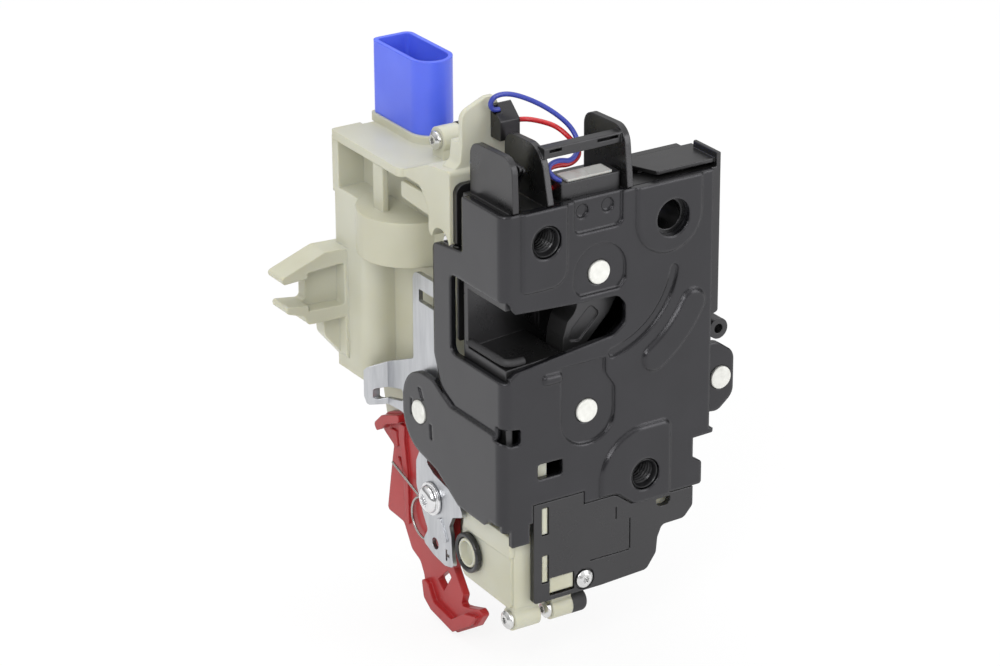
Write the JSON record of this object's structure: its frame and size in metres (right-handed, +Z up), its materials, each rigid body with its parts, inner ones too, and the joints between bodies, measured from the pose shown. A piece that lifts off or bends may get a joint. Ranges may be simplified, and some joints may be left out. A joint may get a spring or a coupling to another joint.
{
  "type": "door latch actuator",
  "caption": "Vehicle door latch with electric locking unit: stamped black latch with rotary catch, ivory actuator housing, blue connector, red and zinc levers.",
  "frame": {"origin": "centre of the upper threaded fixing at the outer face of the latch plate", "axes": "+X along the face from the mouth to the right edge, +Y into the door, +Z up"},
  "size_m": [0.1155, 0.0984, 0.1761],
  "materials": {
    "black_steel": "satin e-coat",
    "black_plastic": "fine moulded",
    "rivet_steel": "pale staked heads",
    "spring_steel": "oiled",
    "pale_cap": "potting",
    "ivory_nylon": "natural nylon",
    "blue_plastic": "moulded",
    "contact_brass": "tinned",
    "screw_zinc": "bright zinc",
    "motor_steel": "drawn can",
    "chrome_screw": "bright",
    "black_rubber": "matt",
    "blue_wire": "wire sleeve",
    "red_wire": "wire sleeve",
    "catch_coat": "overmoulded",
    "pawl_steel": "hardened",
    "zinc_sheet": "zinc plated",
    "red_plastic": "moulded",
    "worm_brass": "machined",
    "gear_plastic": "acetal"
  },
  "bodies": {
    "latch_frame": {"latch_plate": "black_steel", "latch_housing": "black_plastic", "back_plate": "black_steel", "frame_gasket": "black_plastic", "catch_rivet": "rivet_steel", "pawl_rivet": "rivet_steel", "mounting_nuts": "black_steel", "catch_spring": "spring_steel", "pawl_spring": "spring_steel", "side_bracket": "black_steel", "side_rivet": "rivet_steel", "switch_block": "black_plastic", "switch_cap": "pale_cap", "actuator_housing": "ivory_nylon", "actuator_cover": "black_plastic", "connector_shroud": "blue_plastic", "contact_blades": "contact_brass", "wire_connector": "black_plastic", "lower_cover": "black_plastic", "housing_screws": "screw_zinc", "cover_screw": "screw_zinc", "lever_screw": "screw_zinc", "ear_rivet": "rivet_steel", "lever_spring": "spring_steel", "follower_seal": "black_plastic", "lock_motor": "motor_steel", "wheel_pin": "screw_zinc", "circuit_carrier": "black_plastic", "lock_switch": "black_plastic", "frame_screw": "chrome_screw", "bumper": "black_rubber", "blue_lead": "blue_wire", "red_lead": "red_wire"},
    "catch": {"rotary_catch": "catch_coat"},
    "pawl": {"pawl": "pawl_steel"},
    "release_lever": {"release_lever": "zinc_sheet"},
    "lock_lever": {"lock_lever": "zinc_sheet"},
    "red_lever": {"red_lever": "red_plastic"},
    "key_follower": {"key_follower": "ivory_nylon"},
    "motor_worm": {"motor_worm": "worm_brass"},
    "worm_wheel": {"worm_wheel": "gear_plastic"},
    "lock_flag": {"lock_flag": "ivory_nylon"}
  },
  "joints": [
    {"name": "catch_turn", "type": "hinge", "parent": "latch_frame", "child": "catch", "pos_m": [0.0191, 0.0101, -0.0139], "axis": [0, -1, 0], "range_deg": [0, 57], "stiffness_Nm_per_rad": 0.05},
    {"name": "pawl_turn", "type": "hinge", "parent": "latch_frame", "child": "pawl", "pos_m": [0.015, 0.0101, -0.057], "axis": [0, 1, 0], "range_deg": [-12, 6], "stiffness_Nm_per_rad": 0.05},
    {"name": "release_turn", "type": "hinge", "parent": "latch_frame", "child": "release_lever", "pos_m": [-0.0113, 0.0456, -0.067], "axis": [1, 0, 0], "range_deg": [0, 16], "stiffness_Nm_per_rad": 0.05},
    {"name": "lock_turn", "type": "hinge", "parent": "latch_frame", "child": "lock_lever", "pos_m": [-0.0125, 0.0425, -0.0952], "axis": [1, 0, 0], "range_deg": [0, 14]},
    {"name": "red_turn", "type": "hinge", "parent": "latch_frame", "child": "red_lever", "pos_m": [-0.0083, 0.0425, -0.0952], "axis": [1, 0, 0], "range_deg": [-10, 0]},
    {"name": "key_turn", "type": "hinge", "parent": "latch_frame", "child": "key_follower", "pos_m": [-0.007, 0.0245, -0.1064], "axis": [1, 0, 0], "range_deg": [-60, 60]},
    {"name": "worm_turn", "type": "hinge", "parent": "latch_frame", "child": "motor_worm", "pos_m": [0.005, 0.074, -0.048], "axis": [0, 0, 1], "continuous": true},
    {"name": "wheel_turn", "type": "hinge", "parent": "latch_frame", "child": "worm_wheel", "pos_m": [0.005, 0.05745, -0.048], "axis": [1, 0, 0], "continuous": true},
    {"name": "flag_slide", "type": "slide", "parent": "latch_frame", "child": "lock_flag", "axis": [1, 0, 0], "range_m": [0, 0.0035]}
  ],
  "couplings": [
    {"joint": "wheel_turn", "follows": "worm_turn", "ratio": -0.034483},
    {"joint": "flag_slide", "follows": "lock_turn", "m_per_rad": 0.014119}
  ]
}
